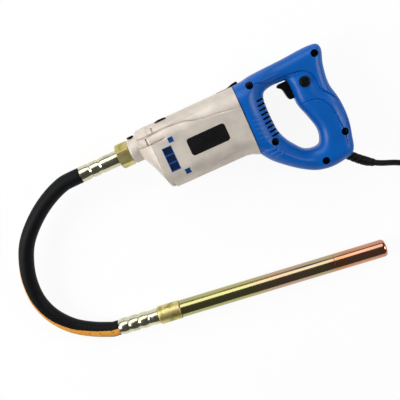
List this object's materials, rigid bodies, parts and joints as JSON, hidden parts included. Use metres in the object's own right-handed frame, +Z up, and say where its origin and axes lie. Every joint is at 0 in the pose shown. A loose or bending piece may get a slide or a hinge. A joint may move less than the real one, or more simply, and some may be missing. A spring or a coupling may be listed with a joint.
{
  "type": "concrete vibrator",
  "caption": "Hand-held electric concrete vibrator: a cast motor and gear housing with a D-handle drives a steel poker head through a rubber hose with a flexible shaft.",
  "frame": {"origin": "on the floor, in the middle of the motor housing's flat side that the tool lies on, straight below the motor's axis", "axes": "+X along the motor's axis from nose to handle, +Y to the tool's top, where the spindle lies, +Z up from the floor"},
  "size_m": [0.7201, 0.3267, 0.088],
  "materials": {
    "cast_aluminium": "satin cast aluminium",
    "blue_plastic": "blue moulded plastic",
    "dark_blue_plastic": "dark blue moulded plastic",
    "black_plastic": "black moulded plastic",
    "black_plate": "gloss black plate",
    "black_steel": "black oxide steel",
    "bright_steel": "ground steel",
    "dark_steel": "hardened and laminated steel",
    "zinc_plated": "yellow zinc plated steel",
    "poker_steel": "bright iridescent zinc plated steel",
    "copper": "copper",
    "brass": "brass",
    "carbon": "carbon",
    "hose_rubber": "fabric-finished black rubber",
    "cord_rubber": "black rubber"
  },
  "bodies": {
    "tool": {"motor_housing": "cast_aluminium", "gearcase": "cast_aluminium", "front_bearing_plate": "cast_aluminium", "rear_bearing_bracket": "cast_aluminium", "handle_shell_left": "blue_plastic", "handle_shell_right": "blue_plastic", "main_vent_left": "dark_blue_plastic", "main_vent_right": "dark_blue_plastic", "upper_vent_left": "dark_blue_plastic", "lower_vent_left": "dark_blue_plastic", "switch_body": "black_plastic", "brush_cap_upper": "black_plastic", "brush_cap_lower": "black_plastic", "nameplate": "black_plate", "handle_screw_1": "black_steel", "handle_screw_2": "black_steel", "handle_screw_3": "black_steel", "handle_screw_4": "black_steel", "handle_screw_5": "black_steel", "neck_lock_screw": "black_steel", "spindle_front_bearing": "bright_steel", "spindle_rear_bearing": "bright_steel", "armature_front_bearing": "bright_steel", "armature_rear_bearing": "bright_steel", "rotor_bearing_front": "bright_steel", "rotor_bearing_rear": "bright_steel", "hose_tail": "bright_steel", "stator_core": "dark_steel", "coupling_nut": "zinc_plated", "upper_ferrule": "zinc_plated", "lower_ferrule": "zinc_plated", "head_collar": "zinc_plated", "head_tube": "poker_steel", "head_tip": "poker_steel", "field_coil_upper": "copper", "field_coil_lower": "copper", "brush_holder_upper": "brass", "brush_holder_lower": "brass", "brush_upper": "carbon", "brush_lower": "carbon", "hose": "hose_rubber", "power_cord": "cord_rubber", "cord_coil": "cord_rubber", "cord_boot": "cord_rubber", "mains_plug": "cord_rubber", "neck_seal": "cord_rubber", "head_seal": "cord_rubber"},
    "armature": {"armature_shaft": "bright_steel", "armature_core": "dark_steel", "armature_winding": "copper", "commutator": "copper", "cooling_fan": "black_plastic", "motor_pinion": "dark_steel"},
    "spindle": {"output_spindle": "bright_steel", "drive_gear": "dark_steel", "shaft_end_upper": "bright_steel"},
    "rotor": {"eccentric_rotor": "bright_steel", "shaft_end_lower": "bright_steel"},
    "trigger": {"trigger": "black_plastic"},
    "lock_button": {"lock_button": "black_plastic"}
  },
  "joints": [
    {"name": "armature_spin", "type": "hinge", "parent": "tool", "child": "armature", "pos_m": [0, 0, 0.044], "axis": [1, 0, 0], "continuous": true},
    {"name": "spindle_spin", "type": "hinge", "parent": "tool", "child": "spindle", "pos_m": [-0.08, 0.0225, 0.044], "axis": [1, 0, 0], "continuous": true},
    {"name": "rotor_spin", "type": "hinge", "parent": "tool", "child": "rotor", "pos_m": [-0.2339, -0.2115, 0.01375], "axis": [0.993, -0.1179, 0], "continuous": true},
    {"name": "trigger_pull", "type": "slide", "parent": "tool", "child": "trigger", "axis": [1, 0, 0], "range_m": [0, 0.006], "stiffness_N_per_m": 400},
    {"name": "lock_button_press", "type": "slide", "parent": "tool", "child": "lock_button", "axis": [0, 0, -1], "range_m": [0, 0.003], "stiffness_N_per_m": 400}
  ],
  "couplings": [
    {"joint": "spindle_spin", "follows": "armature_spin", "ratio": -0.32353},
    {"joint": "rotor_spin", "follows": "armature_spin", "ratio": 0.32353}
  ]
}
